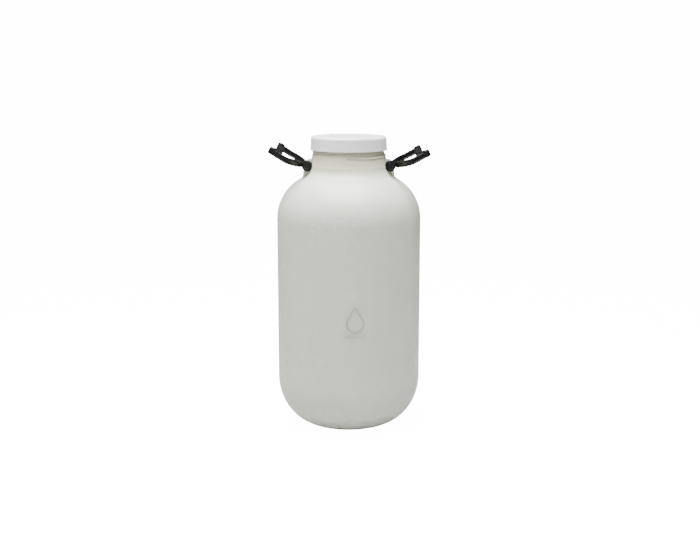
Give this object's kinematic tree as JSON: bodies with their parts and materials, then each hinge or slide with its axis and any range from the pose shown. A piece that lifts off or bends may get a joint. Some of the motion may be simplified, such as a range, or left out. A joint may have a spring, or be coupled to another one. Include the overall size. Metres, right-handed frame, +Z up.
{
  "type": "wide-mouth plastic carboy",
  "caption": "Tall round translucent white plastic carboy with a domed shoulder, a wide screw cap and two black swing handles on ears at the neck.",
  "frame": {"origin": "centre of the resting plane, under the middle of the base", "axes": "+Z up along the tank's axis; -Y towards the front, where the raised mark is; the handles are at +X and -X"},
  "size_m": [0.3004, 0.2708, 0.552],
  "materials": {
    "tank_hdpe": "satin translucent blow-moulded polyethylene, slightly glossy",
    "cap_plastic": "satin injection-moulded polyethylene, near opaque",
    "seal_foam": "soft closed-cell polyethylene foam",
    "black_plastic": "satin moulded black polypropylene",
    "pin_plastic": "matte moulded black polyamide"
  },
  "bodies": {
    "tank": {"tank": "tank_hdpe"},
    "seal": {"sealing_disc": "seal_foam"},
    "cap": {"screw_cap": "cap_plastic"},
    "left_loop": {"left_handle": "black_plastic", "left_hinge_pin": "pin_plastic", "left_pin_cap": "pin_plastic"},
    "right_loop": {"right_handle": "black_plastic", "right_hinge_pin": "pin_plastic", "right_pin_cap": "pin_plastic"}
  },
  "joints": [
    {"name": "cap_lift", "type": "slide", "parent": "tank", "child": "seal", "axis": [0, 0, 1], "range_m": [0, 0.0241]},
    {"name": "cap_turn", "type": "hinge", "parent": "seal", "child": "cap", "pos_m": [0, 0, 0.53], "axis": [0, 0, 1], "range_deg": [0, 720]},
    {"name": "left_handle_swing", "type": "hinge", "parent": "tank", "child": "left_loop", "pos_m": [-0.0754, 0, 0.49596], "axis": [0.0872, 0.9962, 0], "range_deg": [-60, 57]},
    {"name": "right_handle_swing", "type": "hinge", "parent": "tank", "child": "right_loop", "pos_m": [0.0754, 0, 0.49596], "axis": [0.0872, -0.9962, 0], "range_deg": [-56, 62]}
  ],
  "couplings": [
    {"joint": "cap_lift", "follows": "cap_turn", "m_per_rad": 0.0019099}
  ]
}
